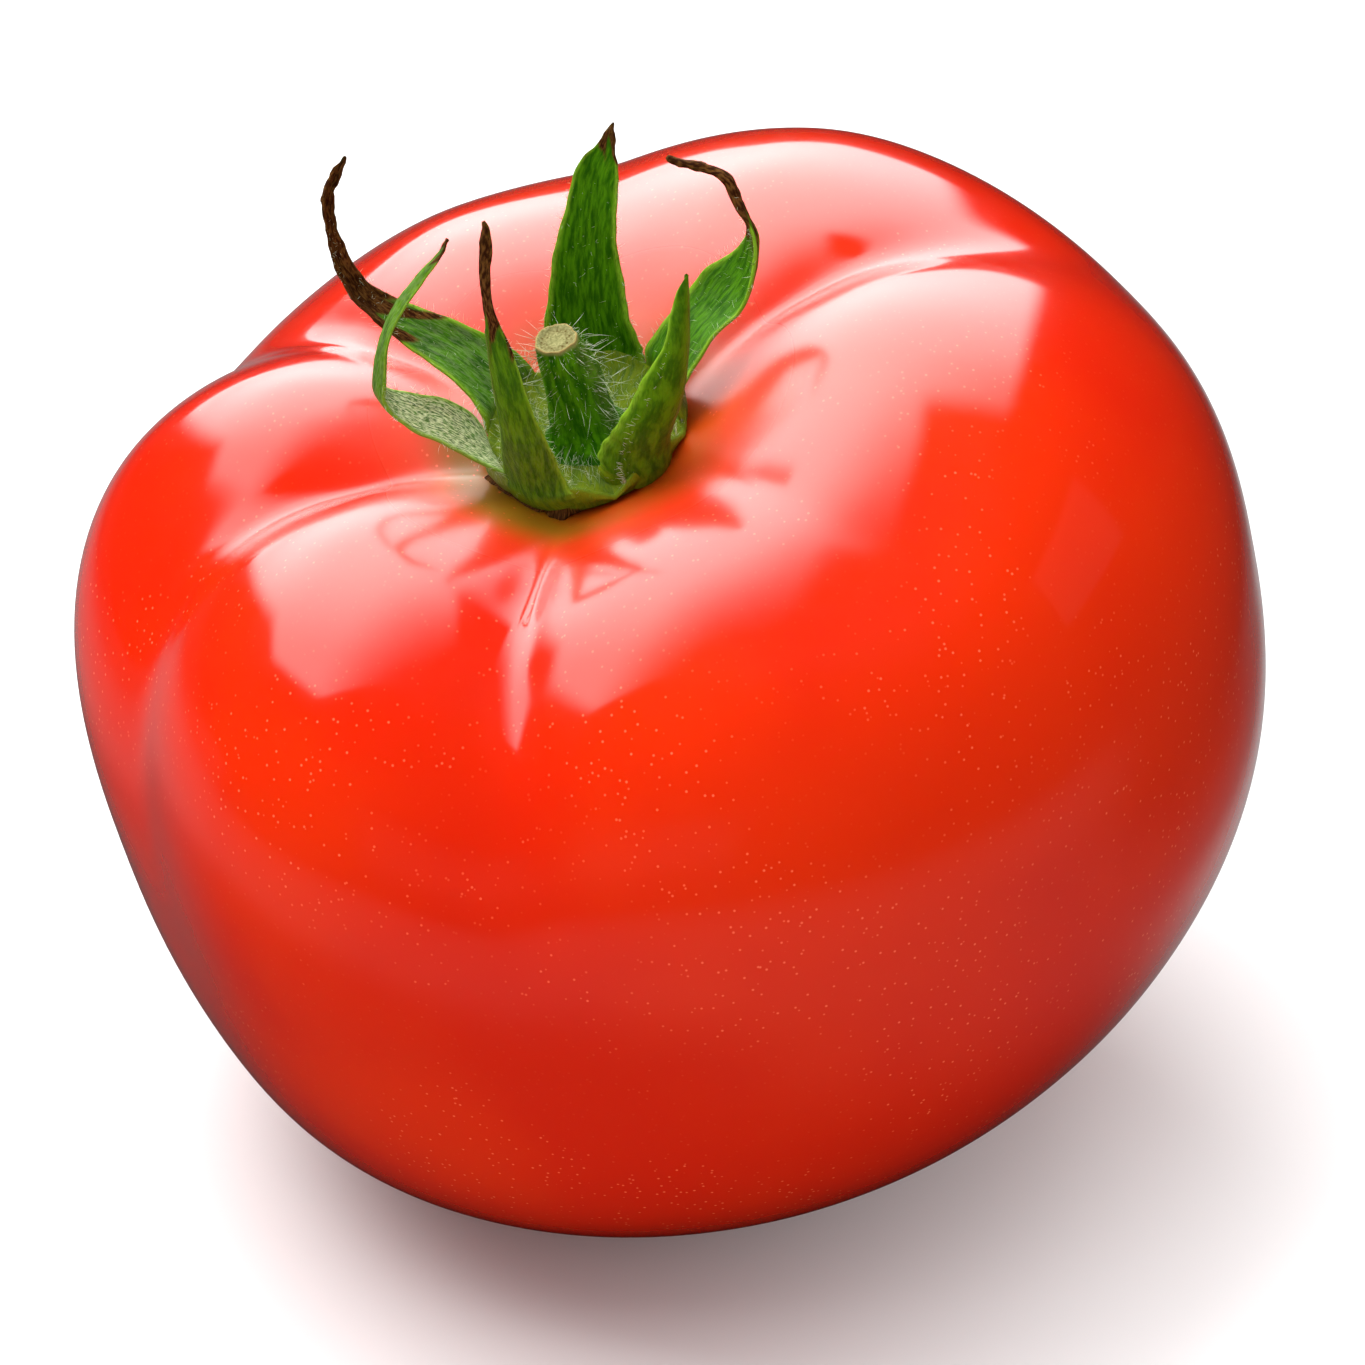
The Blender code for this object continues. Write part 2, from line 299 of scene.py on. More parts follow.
def add_piece(name, mesh, material, slot, *nodes):
    """One visible piece: rides on the body and stands for the CAD nodes named."""
    piece = bpy.data.objects.new(name, mesh)
    bpy.context.scene.collection.objects.link(piece)
    mesh.materials.append(material)
    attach(piece, "root")
    if nodes:
        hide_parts(*nodes)


def with_ends(values, start, end):
    """The values on rings of points, and those at the points at their two ends."""
    return np.concatenate(([start], values.ravel(), [end]))


def ring_faces(rows, around):
    """Faces of a closed mesh whose points are a start, rings of points in rows, and an end."""
    row = 1 + np.arange(rows - 1)[:, None] * around
    first = row + np.arange(around)[None, :]
    after = row + (np.arange(around)[None, :] + 1) % around
    faces = np.stack((first, after, after + around, first + around), axis=-1).reshape(-1, 4).tolist()
    last = 1 + (rows - 1) * around
    end = last + around
    for step in range(around):
        faces.append((0, 1 + (step + 1) % around, 1 + step))
        faces.append((end, last + step, last + (step + 1) % around))
    return faces


def make_mesh(name, points, faces):
    """A smooth mesh from points in the world."""
    mesh = bpy.data.meshes.new(name)
    mesh.from_pydata(points.tolist(), [], faces)
    mesh.shade_smooth()
    return mesh


def loft(name, rings, start, end):
    """A closed mesh through rings of points in the fruit frame, in millimetres, and a point at either end."""
    points = np.concatenate(([start], rings.reshape(-1, 3), [end]))
    return make_mesh(name, in_world(points * MM), ring_faces(*rings.shape[:2]))


def make_fruit(material):
    """The skin: rings of points from the blossom end up to the calyx, with the foot pressed flat."""
    rows = np.linspace(math.pi, 0, FRUIT_RINGS + 1)[1:-1]
    around = np.arange(FRUIT_SEGMENTS) * 2 * math.pi / FRUIT_SEGMENTS
    polar = with_ends(np.repeat(rows, FRUIT_SEGMENTS), math.pi, 0)
    azimuth = with_ends(np.tile(around, len(rows)), 0, 0)
    local = fruit_points(azimuth, polar)
    lumps = noise_values(local, 1 / LUMP_SIZE) * smooth((polar - 0.25) / 0.3)
    lumps = lumps * (1 - smooth((polar - 0.6) / 0.5))
    lumps = lumps + 0.35 * noise_values(local, 0.6 / LUMP_SIZE, 5.0) * smooth((polar - 0.4) / 0.4)
    local = local + direction(azimuth, polar) * (lumps * LUMPS)[:, None]
    world = in_world(local)
    height = world[:, 2]
    world[:, 2] = (height + np.sqrt(height ** 2 + (2 * FLAT_SOFTNESS) ** 2)) / 2
    mesh = make_mesh("tomato_skin", world, ring_faces(len(rows), FRUIT_SEGMENTS))
    set_attribute(mesh, "fruit_place", local)
    set_attribute(mesh, "polar", polar)
    add_piece("tomato_skin", mesh, material, "tomato_skin", "fruit")


def set_leaf_attributes(mesh, place, **numbers):
    """What the leaf material reads: a place, and numbers that each come with those at the two ends."""
    for name, (values, start, end) in numbers.items():
        set_attribute(mesh, name, with_ends(values * np.ones(place.shape[:2]), start, end))
    place = np.concatenate(([place[0, 0]], place.reshape(-1, 3), [place[-1, 0]]))
    set_attribute(mesh, "blade_place", place)


def curve_points(points, places):
    """A smooth curve through the points, read at places from 0 to 1."""
    points = np.asarray(points, dtype=float)
    last = len(points) - 1
    at = np.clip(places, 0, 1) * last
    span = np.minimum(at.astype(int), last - 1)
    part = (at - span)[:, None]
    before, start, end, after = (points[np.clip(span + step, 0, last)] for step in (-1, 0, 1, 2))
    return 0.5 * (
        2 * start
        + (end - before) * part
        + (2 * before - 5 * start + 4 * end - after) * part ** 2
        + (3 * start - before - 3 * end + after) * part ** 3
    )


def unit(vectors):
    """The vectors, each one long."""
    return vectors / np.maximum(np.linalg.norm(vectors, axis=-1, keepdims=True), 1e-9)


def noise_values(points, scale, seed=0.0):
    """Smooth noise from -1 to 1 at each point."""
    shape = points.shape[:-1]
    flat = (points.reshape(-1, 3) * scale + seed).tolist()
    return np.array([noise.noise(Vector(point)) for point in flat]).reshape(shape)


def blade_frame(name, places):
    """Middle line, width, and the directions along, across and inwards of a sepal at the places."""
    line = curve_points(SEPALS[name], places)
    ahead = curve_points(SEPALS[name], places + NEARBY)
    behind = curve_points(SEPALS[name], places - NEARBY)
    run = unit(ahead[:, :3] - behind[:, :3])
    middle = line[:, :3]
    inward = unit(-middle * (1, 1, 0))
    face = unit(inward - run * np.sum(inward * run, axis=1, keepdims=True))
    across = np.cross(run, face)
    low, high = SEPAL_HABITS[name][4:6]
    twist = low * smooth((places - 0.12) / 0.15) * (1 - smooth((places - 0.38) / 0.2))
    twist = np.radians(twist + high * smooth((places - 0.45) / 0.55))[:, None]
    turned = across * np.cos(twist) + face * np.sin(twist)
    face = face * np.cos(twist) - across * np.sin(twist)
    return middle, line[:, 3], run, turned, face


def lower_bend(name, places, width):
    """Angle in radians that the sepal is bent through across: the cup's at its root, its own farther up."""
    root_bend = width / CUP_RADIUS
    middle_bend = math.radians(SEPAL_HABITS[name][2])
    return root_bend + (middle_bend - root_bend) * smooth((places - 0.12) / 0.25)


def blade_dryness(name, places, side):
    """How dry the sepal is at each place along it and across it, from 0 to 1."""
    start, gradual = SEPAL_HABITS[name][:2]
    ragged = 0.05 * np.sin(side * 5 + places * 40) + 0.05 * np.abs(side)
    return smooth((places - start + ragged) / gradual + 0.5)


def make_sepal(name, material):
    """A thin leaf, bent across and along, rolled up and crinkled where it has dried."""
    start, bend_tip, pale = (SEPAL_HABITS[name][entry] for entry in (0, 3, 6))
    places = np.linspace(0, 1, SEPAL_ROWS)
    middle, width, run, across, face = blade_frame(name, places)
    turn = np.arange(SEPAL_RING) * 2 * math.pi / SEPAL_RING
    side = np.cos(turn)[None, :]
    upper = np.sign(np.sin(turn) + 1e-6)[None, :]
    place = places[:, None]
    dry = blade_dryness(name, place, side)
    width = width[:, None] * np.clip((1 - place) / 0.07, 0.02, 1.0) ** 0.6
    seed = len(name) * 3.7
    ragged = 1 + 0.025 * np.sin(place * 31 + seed + side) * smooth(place / 0.2)
    ragged = ragged + 0.012 * np.sin(place * 83 + 2 * side)
    bend = lower_bend(name, place, width)
    bend = bend + (math.radians(bend_tip) - bend) * smooth((place - start + 0.05) / (1.05 - start))
    half_bend = bend / 2
    reach = np.sin(np.minimum(half_bend, math.pi / 2))
    radius = width * ragged / 2 / reach
    angle = side * half_bend
    wave = 0.16 * side ** 2 * np.sin(place * 21 + seed + side * 2) * smooth(place / 0.25)
    keel = 0.22 * np.exp(-((side / 0.16) ** 2)) * (1 - smooth((place - 0.1) / 0.8)) * smooth(place / 0.15)
    half_thick = 0.07 + (0.34 - 0.16 * smooth(place / 0.3)) * np.sqrt(1 - np.minimum(side ** 2, 1))
    half_thick = half_thick * (1 - 0.45 * smooth((place - 0.5) / 0.5))
    veins = 0.02 * np.cos(side * 22) * (1 - side ** 2)
    lift = half_thick * upper + veins - np.where(upper < 0, keel, -0.3 * keel)
    root = 1 - smooth(place / 0.16)
    lift = lift - 0.15 * root * (1 - side ** 2) + 0.12 * root * side ** 2
    inward = face[:, None, :] * np.cos(angle)[..., None] - across[:, None, :] * np.sin(angle)[..., None]
    points = (
        middle[:, None, :]
        + across[:, None, :] * (radius * np.sin(angle))[..., None]
        + face[:, None, :] * (radius * (1 - np.cos(angle)) + wave)[..., None]
        + inward * lift[..., None]
    )
    crinkle = noise_values(points, 0.9, seed) * 0.16 + noise_values(points, 2.2, seed) * 0.07
    points = points + inward * (crinkle * (0.25 + 0.75 * dry) * smooth(place / 0.2))[..., None]
    mesh = loft(name, points, middle[0] - run[0] * 0.1, middle[-1] + run[-1] * 0.15)
    ones = np.ones_like(lift)
    length = np.concatenate(([0], np.cumsum(np.linalg.norm(np.diff(middle, axis=0), axis=1))))[:, None]
    grid = np.stack((side * width / 2 + seed, length * ones * 0.16, upper * 3 * ones + seed), axis=-1)
    set_leaf_attributes(
        mesh,
        grid,
        along=(place, 0, 1),
        across=(side, 0, 0),
        inner=(upper > 0, 0, 0),
        dry=(dry, 0, 1),
        pale=(pale, pale, pale),
    )
    add_piece(name, mesh, material, "calyx_green", name)


def skin_height(azimuth, reach):
    """Height of the skin in millimetres at a distance from the stem axis, one row for each azimuth."""
    polar = np.linspace(0.02, 0.5, 160)
    rows = []
    for turn in azimuth:
        points = fruit_points(np.full_like(polar, turn), polar) / MM
        rows.append(np.interp(reach, np.hypot(points[:, 0], points[:, 1]), points[:, 2]))
    return np.array(rows).T


def make_cup(material):
    """The shallow cup that the sepals grow from, notched between them and dried along its lower edge."""
    wall = np.array(CUP_WALL)
    places = np.linspace(0.06, 0.97, CUP_ROWS)
    outline = curve_points(wall, places)
    azimuth = np.arange(CUP_STEPS) * 2 * math.pi / CUP_STEPS
    notch = np.zeros_like(azimuth)
    for middle, depth, half_width in CUP_NOTCHES:
        off = np.abs(turn_between(azimuth, math.radians(middle))) / math.radians(half_width)
        notch = np.maximum(notch, depth * np.maximum(0, 1 - off) ** 1.2)
    rise = smooth((outline[:, 1] - 24.7) / 1.7)[:, None]
    height = outline[:, 1][:, None] - rise * notch[None, :]
    along = places[:, None] * (len(wall) - 1) / CUP_RIM_ROW
    edge = np.exp(-(((along - CUP_EDGE_ROW / CUP_RIM_ROW) / 0.07) ** 2))
    dried = smooth((np.cos(azimuth - math.radians(DRIED_EDGE_AZIMUTH)) - 0.72) / 0.16)[None, :]
    lip = 1.2 + 0.25 * np.sin(azimuth * 19) + 0.15 * np.sin(azimuth * 47 + 1)
    radius = outline[:, 0][:, None] * (1 + 0.012 * np.cos(5 * azimuth + 1))[None, :] + edge * dried * lip
    under = skin_height(azimuth, np.minimum(outline[:, 0], 7.2)) + 0.08
    resting = 1 - smooth((along - 0.60) / 0.16)
    resting = np.where(along > 1, 0, resting)
    height = height * (1 - resting) + (under + 0.35 * edge * dried) * resting
    points = np.stack((radius * np.cos(azimuth), radius * np.sin(azimuth), height + 0 * radius), axis=-1)
    points = points + unit(points * (1, 1, 0)) * (noise_values(points, 1.3) * 0.07)[..., None]
    mesh = loft("calyx_cup", points, (0, 0, wall[0][1]), (0, 0, wall[-1][1]))
    ones = np.ones_like(radius)
    inner = smooth((along - 1.0) / 0.1)
    brown = np.clip(edge * dried * 2.6 + edge * 0.45, 0, 1)
    set_leaf_attributes(
        mesh,
        np.stack((azimuth[None, :] * 7 * ones, along * ones * 1.2, inner * 3 * ones), axis=-1),
        along=(0.1, 0, 0),
        across=(1 - np.abs(along - 1.0) * 1.5, 0, 0),
        inner=(inner, 0, 1),
        dry=(brown, 0, 0),
        pale=(0.1, 0, 0),
    )
    add_piece("calyx_cup", mesh, material, "calyx_green", "calyx_cup")


def over_stem(tube, cut):
    """One number for each point on the stem's rings, from those of its rows and of the rings on its cut."""
    rings = np.concatenate((tube * np.ones(STEM_ROWS), cut * np.ones(len(CUT_RINGS))))
    return rings[:, None] * np.ones((1, STEM_SIDES))


def make_stem(material):
    """The cut stem: a ribbed tube with a flared foot and a hollowed, fibrous cut."""
    places = np.linspace(0, 1, STEM_ROWS)
    line = curve_points(STEM_LINE, places)
    azimuth = np.arange(STEM_SIDES) * 2 * math.pi / STEM_SIDES
    ribs = 1 + 0.030 * np.cos(5 * azimuth + 0.6) + 0.016 * np.cos(9 * azimuth)
    ribs = ribs + 0.07 * np.exp(-((turn_between(azimuth, STEM_RIDGE) / 0.28) ** 2))
    radius = line[:, 3][:, None] * ribs[None, :]
    around = np.stack((np.cos(azimuth), np.sin(azimuth), 0 * azimuth), axis=-1)
    points = line[:, None, :3] + around[None, :, :] * radius[..., None]
    bumps = noise_values(points, 1.1, 3.0) * 0.10 + noise_values(points, 3.0) * 0.05
    points = points + around[None, :, :] * bumps[..., None]
    centre = line[-1, :3]
    shares, heights = np.array(CUT_RINGS).T
    cut = centre + (points[-1] - centre)[None, :, :] * shares[:, None, None]
    cut[..., 2] = centre[2] + heights[:, None] + noise_values(cut, 2.6, 9.0) * 0.10
    rings = np.concatenate((points, cut))
    mesh = loft("stem_stub", rings, line[0, :3], (centre[0], centre[1], centre[2] - 0.15))
    ridge = np.exp(-((turn_between(azimuth, STEM_RIDGE) / 0.35) ** 2))
    set_attribute(mesh, "cut", with_ends(over_stem(0, 1), 0, 1))
    set_attribute(mesh, "share", with_ends(over_stem(1, shares), 1, 0))
    set_attribute(mesh, "ridge", with_ends(over_stem(1, 1) * ridge[None, :], 0, 0))
    set_attribute(mesh, "along", with_ends(over_stem(places, 1), 0, 1))
    set_attribute(mesh, "stem_place", np.concatenate(([line[0, :3]], rings.reshape(-1, 3), [centre])))
    add_piece("stem_stub", mesh, material, "stem_green", "stem_stub")


def make_hairs(name, hairs, radii, curls, material, slot):
    """Fine hairs, each a thin tapering tube that bends a little on its way out."""
    roots, directions, lengths = hairs
    shares, taper = np.array(HAIR_RINGS).T
    sway = np.cross(directions, curls)
    path = (
        roots[:, None, :]
        + directions[:, None, :] * (lengths[:, None] * shares[None, :])[..., None]
        + sway[:, None, :] * (lengths[:, None] * shares[None, :] ** 2)[..., None]
    )
    one = unit(np.cross(directions, (0.31, 0.52, 0.79)))
    other = np.cross(directions, one)
    turn = np.arange(HAIR_SIDES) * 2 * math.pi / HAIR_SIDES
    ring = one[:, None, :] * np.cos(turn)[None, :, None] + other[:, None, :] * np.sin(turn)[None, :, None]
    points = path[:, :, None, :] + ring[:, None, :, :] * (radii[:, None] * taper[None, :])[..., None, None]
    count = len(roots)
    each = len(HAIR_RINGS) * HAIR_SIDES
    faces = []
    for base in range(0, count * each, each):
        for row in range(base, base + each - HAIR_SIDES, HAIR_SIDES):
            for step in range(HAIR_SIDES):
                here = row + step
                beside = row + (step + 1) % HAIR_SIDES
                faces.append((here, beside, beside + HAIR_SIDES, here + HAIR_SIDES))
        faces.append(tuple(range(base + HAIR_SIDES - 1, base - 1, -1)))
        faces.append(tuple(range(base + each - HAIR_SIDES, base + each)))
    mesh = make_mesh(name, in_world(points.reshape(-1, 3) * MM), faces)
    set_attribute(mesh, "along", np.tile(np.repeat(shares, HAIR_SIDES), count))
    set_attribute(mesh, "hair_place", points.reshape(-1, 3))
    add_piece(name, mesh, material, slot)


def stem_hairs(material):
    """Long sparse hairs and short fuzz round the stem."""
    chance = np.random.default_rng(HAIR_SEED)
    count = LONG_STEM_HAIRS + SHORT_STEM_HAIRS
    places = chance.uniform(0.10, 0.985, count)
    azimuth = chance.uniform(-math.pi, math.pi, count)
    on_ridge = np.arange(count) % 6 == 0
    azimuth = np.where(on_ridge, STEM_RIDGE + chance.normal(0, 0.30, count), azimuth)
    line = curve_points(STEM_LINE, places)
    out = np.stack((np.cos(azimuth), np.sin(azimuth), np.zeros(count)), axis=-1)
    roots = line[:, :3] + out * (line[:, 3] * 0.97)[:, None]
    directions = unit(out + chance.normal(0, 0.22, (count, 3)) + (0, 0, 0.05))
    long = np.arange(count) < LONG_STEM_HAIRS
    lengths = np.where(long, chance.uniform(0.9, 2.8, count), chance.uniform(0.18, 0.55, count))
    radii = np.where(long, LONG_HAIR_RADIUS, SHORT_HAIR_RADIUS)
    curls = chance.normal(0, 0.22, (count, 3))
    make_hairs("stem_hairs", (roots, directions, lengths), radii, curls, material, "stem_green")


def sepal_hairs(chance, name):
    """Roots, directions and lengths of the hairs on a sepal: half on its inner face, half along its edges."""
    count = HAIRS_PER_SEPAL
    places = chance.uniform(0.10, 0.80, count) ** 1.25
    side = chance.uniform(-0.97, 0.97, count)
    fringe = np.arange(count) % 2 == 0
    side = np.where(fringe, np.sign(side) * 0.98, side)
    middle, width, run, across, face = blade_frame(name, places)
    bend = lower_bend(name, places, width)
    radius = width / 2 / np.sin(np.minimum(bend / 2, math.pi / 2))
    angle = side * bend / 2
    roots = middle + across * (radius * np.sin(angle))[:, None]
    roots = roots + face * (radius * (1 - np.cos(angle)))[:, None]
    inward = face * np.cos(angle)[:, None] - across * np.sin(angle)[:, None]
    outward = across * np.sign(side)[:, None]
    lean = np.where(fringe[:, None], outward + inward * 0.5, inward)
    directions = unit(lean + chance.normal(0, 0.35, (count, 3)) + run * 0.4)
    longest = 0.75 + 0.35 * SEPAL_HABITS[name][6]
    lengths = chance.uniform(0.25, longest, count) * np.where(places > 0.6, 0.6, 1.0)
    return roots, directions, lengths


def cup_hairs(chance):
    """Roots, directions and lengths of the hairs inside the cup."""
    count = CUP_HAIRS
    azimuth = chance.uniform(-math.pi, math.pi, count)
    reach = chance.uniform(3.0, 6.6, count)
    out = np.stack((np.cos(azimuth), np.sin(azimuth), np.zeros(count)), axis=-1)
    height = CUP_FLOOR + 0.045 * (reach - 3) ** 2
    roots = out * reach[:, None] + np.stack((0 * reach, 0 * reach, height), axis=-1)
    directions = unit(np.array((0, 0, 1)) - out * 0.3 + chance.normal(0, 0.45, (count, 3)))
    return roots, directions, chance.uniform(0.4, 1.3, count)


def calyx_hairs(material):
    """Fuzz on the inner faces of the sepals and in the cup, and a fringe along the sepals' edges."""
    chance = np.random.default_rng(HAIR_SEED + 1)
    parts = [sepal_hairs(chance, name) for name in SEPALS]
    parts.append(cup_hairs(chance))
    hairs = [np.concatenate(column) for column in zip(*parts)]
    count = len(hairs[0])
    radii = np.full(count, CALYX_HAIR_RADIUS)
    curls = chance.normal(0, 0.25, (count, 3))
    make_hairs("calyx_hairs", hairs, radii, curls, material, "calyx_green")


# ---------------- materials
SKIN_REDS = ((0.73, 0.015, 0.0005, 1), (0.81, 0.027, 0.0007, 1))
SKIN_HALO = (0.74, 0.085, 0.002, 1)
SKIN_OLIVE = (0.22, 0.12, 0.004, 1)
SKIN_DOT = (1.0, 0.15, 0.06, 1)
LEAF_INSIDE = ((0.016, 0.085, 0.0005, 1), (0.065, 0.210, 0.002, 1))
LEAF_OUTSIDE = ((0.028, 0.095, 0.0005, 1), (0.085, 0.210, 0.002, 1))
LEAF_FROST = (0.70, 0.76, 0.44, 1)
LEAF_EDGE = (0.24, 0.42, 0.025, 1)
LEAF_ROOT = (0.16, 0.19, 0.004, 1)
LEAF_DRIED = ((0.026, 0.006, 0.001, 1), (0.14, 0.058, 0.013, 1))
STEM_GREENS = ((0.018, 0.110, 0.001, 1), (0.090, 0.290, 0.004, 1))
STEM_RIDGE_GREEN = (0.12, 0.20, 0.035, 1)
# Dark green at the stem's foot, down in the cup, as painted shade.
STEM_FOOT_PAINTED_SHADE = (0.010, 0.060, 0.006, 1)
STEM_WORN = (0.30, 0.30, 0.10, 1)
CUT_CREAMS = ((0.20, 0.19, 0.07, 1), (0.36, 0.34, 0.15, 1))
CUT_FIBRES = (0.11, 0.075, 0.02, 1)
CUT_PITH = (0.26, 0.25, 0.10, 1)
CUT_EDGE = (0.42, 0.28, 0.09, 1)
HAIR_ROOT = (0.12, 0.22, 0.05, 1)
HAIR_TIPS = ((0.55, 0.62, 0.35, 1), (0.85, 0.88, 0.72, 1))
# The floor as the camera sees it, as it lights the fruit, and as the skin mirrors it in four places. The
# mirrored floor is painted: dark far off and beside the fruit on the right, a paler ring round the fruit and
# a paler patch behind it as painted light, and darker close to the fruit as painted shade.
FLOOR_SEEN = (0.88, 0.88, 0.88, 1)
FLOOR_BOUNCED = (0.42, 0.42, 0.42, 1)
FLOOR_FAR = (0.015, 0.015, 0.015, 1)
FLOOR_NEAR = (0.10, 0.10, 0.10, 1)
FLOOR_BESIDE = (0.01, 0.01, 0.01, 1)
FLOOR_BEHIND = (0.24, 0.24, 0.24, 1)
WHITE = (1, 1, 1, 1)


def new_material(name):
    """A material with its node tree and its main shader."""
    material = bpy.data.materials.new(name)
    material.use_nodes = True
    return material, material.node_tree, material.node_tree.nodes["Principled BSDF"]


def add_node(tree, kind, values=(), **settings):
    """A shader node; values gives each input a number, a colour or another node's output."""
    made = tree.nodes.new(kind)
    for name, value in settings.items():
        setattr(made, name, value)
    for name, value in dict(values).items():
        if isinstance(value, bpy.types.NodeSocket):
            tree.links.new(value, made.inputs[name])
        else:
            made.inputs[name].default_value = value
    return made


def attribute(tree, name, output="Fac"):
    """What the mesh says under that name."""
    return add_node(tree, "ShaderNodeAttribute", attribute_name=name).outputs[output]


def ranged(tree, value, low, high, start=0.0, end=1.0):
    """value drawn from low..high to start..end with a smooth step."""
    values = {"Value": value, "From Min": low, "From Max": high, "To Min": start, "To Max": end}
    return add_node(tree, "ShaderNodeMapRange", values, interpolation_type="SMOOTHSTEP").outputs["Result"]


def maths(tree, operation, one, other=0.0):
    """One number from two, such as their sum."""
    return add_node(tree, "ShaderNodeMath", {0: one, 1: other}, operation=operation).outputs[0]


def blend(tree, share, first, second):
    """Mix of two colours."""
    values = {0: share, 6: first, 7: second}
    return add_node(tree, "ShaderNodeMix", values, data_type="RGBA").outputs[2]


def noise_at(tree, place, scale, detail=2.0, roughness=0.5):
    """Noise from 0 to 1 at the place."""
    values = {"Vector": place, "Scale": scale, "Detail": detail, "Roughness": roughness}
    return add_node(tree, "ShaderNodeTexNoise", values).outputs["Fac"]


def add_bump(tree, shader, height, strength, distance):
    values = {"Height": height, "Strength": strength, "Distance": distance}
    bump = add_node(tree, "ShaderNodeBump", values)
    tree.links.new(bump.outputs["Normal"], shader.inputs["Normal"])


def skin_material():
    """Glossy red skin with pale dots, orange and olive towards the calyx."""
    material, tree, shader = new_material("tomato_skin")
    place = attribute(tree, "fruit_place", "Vector")
    broad = noise_at(tree, place, 30.0, 3.0)
    red = blend(tree, ranged(tree, broad, 0.35, 0.65), *SKIN_REDS)
    polar = attribute(tree, "polar")
    halo = ranged(tree, polar, 0.35, 0.14, 0.0, 0.7)
    streaks = noise_at(tree, place, 260.0, 3.0, 0.6)
    halo = maths(tree, "MULTIPLY", halo, ranged(tree, streaks, 0.25, 0.75, 0.45, 1.0))
    orange = blend(tree, halo, red, SKIN_HALO)
    side = add_node(tree, "ShaderNodeSeparateXYZ", {0: place}).outputs
    across = maths(tree, "MULTIPLY", side[0], -0.8)
    towards = maths(tree, "ADD", across, maths(tree, "MULTIPLY", side[1], -0.6))
    ring = ranged(tree, polar, 0.26, 0.17)
    ring = maths(tree, "MULTIPLY", ring, ranged(tree, towards, 0.003, 0.008, 0.15, 0.9))
    olive = blend(tree, ring, orange, SKIN_OLIVE)
    cells = add_node(tree, "ShaderNodeTexVoronoi", {"Vector": place, "Scale": 1500.0}).outputs["Distance"]
    dots = ranged(tree, cells, 0.20, 0.06)
    crowd = ranged(tree, noise_at(tree, place, 70.0, 3.0), 0.44, 0.60, 0.1, 1.0)
    dots = maths(tree, "MULTIPLY", dots, crowd)
    tree.links.new(blend(tree, dots, olive, SKIN_DOT), shader.inputs["Base Color"])
    grain = noise_at(tree, place, 900.0, 2.0)
    roughness = ranged(tree, grain, 0.3, 0.7, 0.16, 0.22)
    tree.links.new(roughness, shader.inputs["Roughness"])
    add_bump(tree, shader, noise_at(tree, place, 350.0, 2.0), 0.03, 0.001)
    tree.links.new(ranged(tree, polar, 0.20, 0.56, 0.34, 0.08), shader.inputs["Coat Roughness"])
    shader.inputs["IOR"].default_value = 1.5
    shader.inputs["Specular IOR Level"].default_value = 0.10
    shader.inputs["Coat Weight"].default_value = 1.0
    shader.inputs["Coat IOR"].default_value = 1.65
    shader.inputs["Subsurface Weight"].default_value = 0.25
    shader.inputs["Subsurface Radius"].default_value = (1.0, 0.12, 0.05)
    shader.inputs["Subsurface Scale"].default_value = 0.006
    return material


def distance_to(tree, place, spot):
    """Distance from the place to a fixed spot."""
    apart = add_node(tree, "ShaderNodeVectorMath", {0: place, 1: spot}, operation="DISTANCE")
    return apart.outputs["Value"]


def floor_material():
    """White to the camera, with painted light on the right that lightens the fruit's shadow there, and dimmer
    in what the fruit reflects, where paler patches are painted light and the dark close to the fruit is
    painted shade.
    """
    material, tree, shader = new_material("pale_floor")
    ray = add_node(tree, "ShaderNodeLightPath").outputs
    place = add_node(tree, "ShaderNodeNewGeometry").outputs["Position"]
    off = distance_to(tree, place, (-0.02, 0, 0))
    # Paler ring round the fruit in what the skin mirrors, as painted light. It is full 9 to 12 cm out and
    # drops to painted shade close to the fruit.
    near = ranged(tree, off, 0.26, 0.12)
    near = maths(tree, "MULTIPLY", near, ranged(tree, off, 0.055, 0.090, 0.1, 1.0))
    mirrored = blend(tree, near, FLOOR_FAR, FLOOR_NEAR)
    across, back = add_node(tree, "ShaderNodeSeparateXYZ", {0: place}).outputs[:2]
    # Paler patch just behind the fruit, strongest to the right, as painted light in what the skin mirrors.
    behind = ranged(tree, back, -0.02, 0.02)
    behind = maths(tree, "MULTIPLY", behind, ranged(tree, back, 0.17, 0.11))
    beside = ranged(tree, across, 0.06, 0.11)
    beside = maths(tree, "MULTIPLY", beside, ranged(tree, back, -0.06, 0.0))
    mirrored = blend(tree, beside, mirrored, FLOOR_BESIDE)
    behind = maths(tree, "MULTIPLY", behind, ranged(tree, across, 0.080, 0.060))
    behind = maths(tree, "MULTIPLY", behind, ranged(tree, across, -0.045, 0.010, 0.12, 1.0))
    mirrored = blend(tree, behind, mirrored, FLOOR_BEHIND)
    bounced = blend(tree, ray["Is Glossy Ray"], FLOOR_BOUNCED, mirrored)
    seen = blend(tree, ray["Is Camera Ray"], bounced, FLOOR_SEEN)
    tree.links.new(seen, shader.inputs["Base Color"])
    # Painted light: the floor glows to the camera right of and in front of the fruit, lightening the fruit's
    # shadow there.
    painted_shadow_lift = ranged(tree, distance_to(tree, place, (0.060, -0.035, 0)), 0.075, 0.0, 0.0, 0.34)
    painted_shadow_lift = maths(tree, "MULTIPLY", painted_shadow_lift, ray["Is Camera Ray"])
    tree.links.new(painted_shadow_lift, shader.inputs["Emission Strength"])
    shader.inputs["Emission Color"].default_value = WHITE
    shader.inputs["Roughness"].default_value = 1.0
    shader.inputs["Specular IOR Level"].default_value = 0.0
    return material


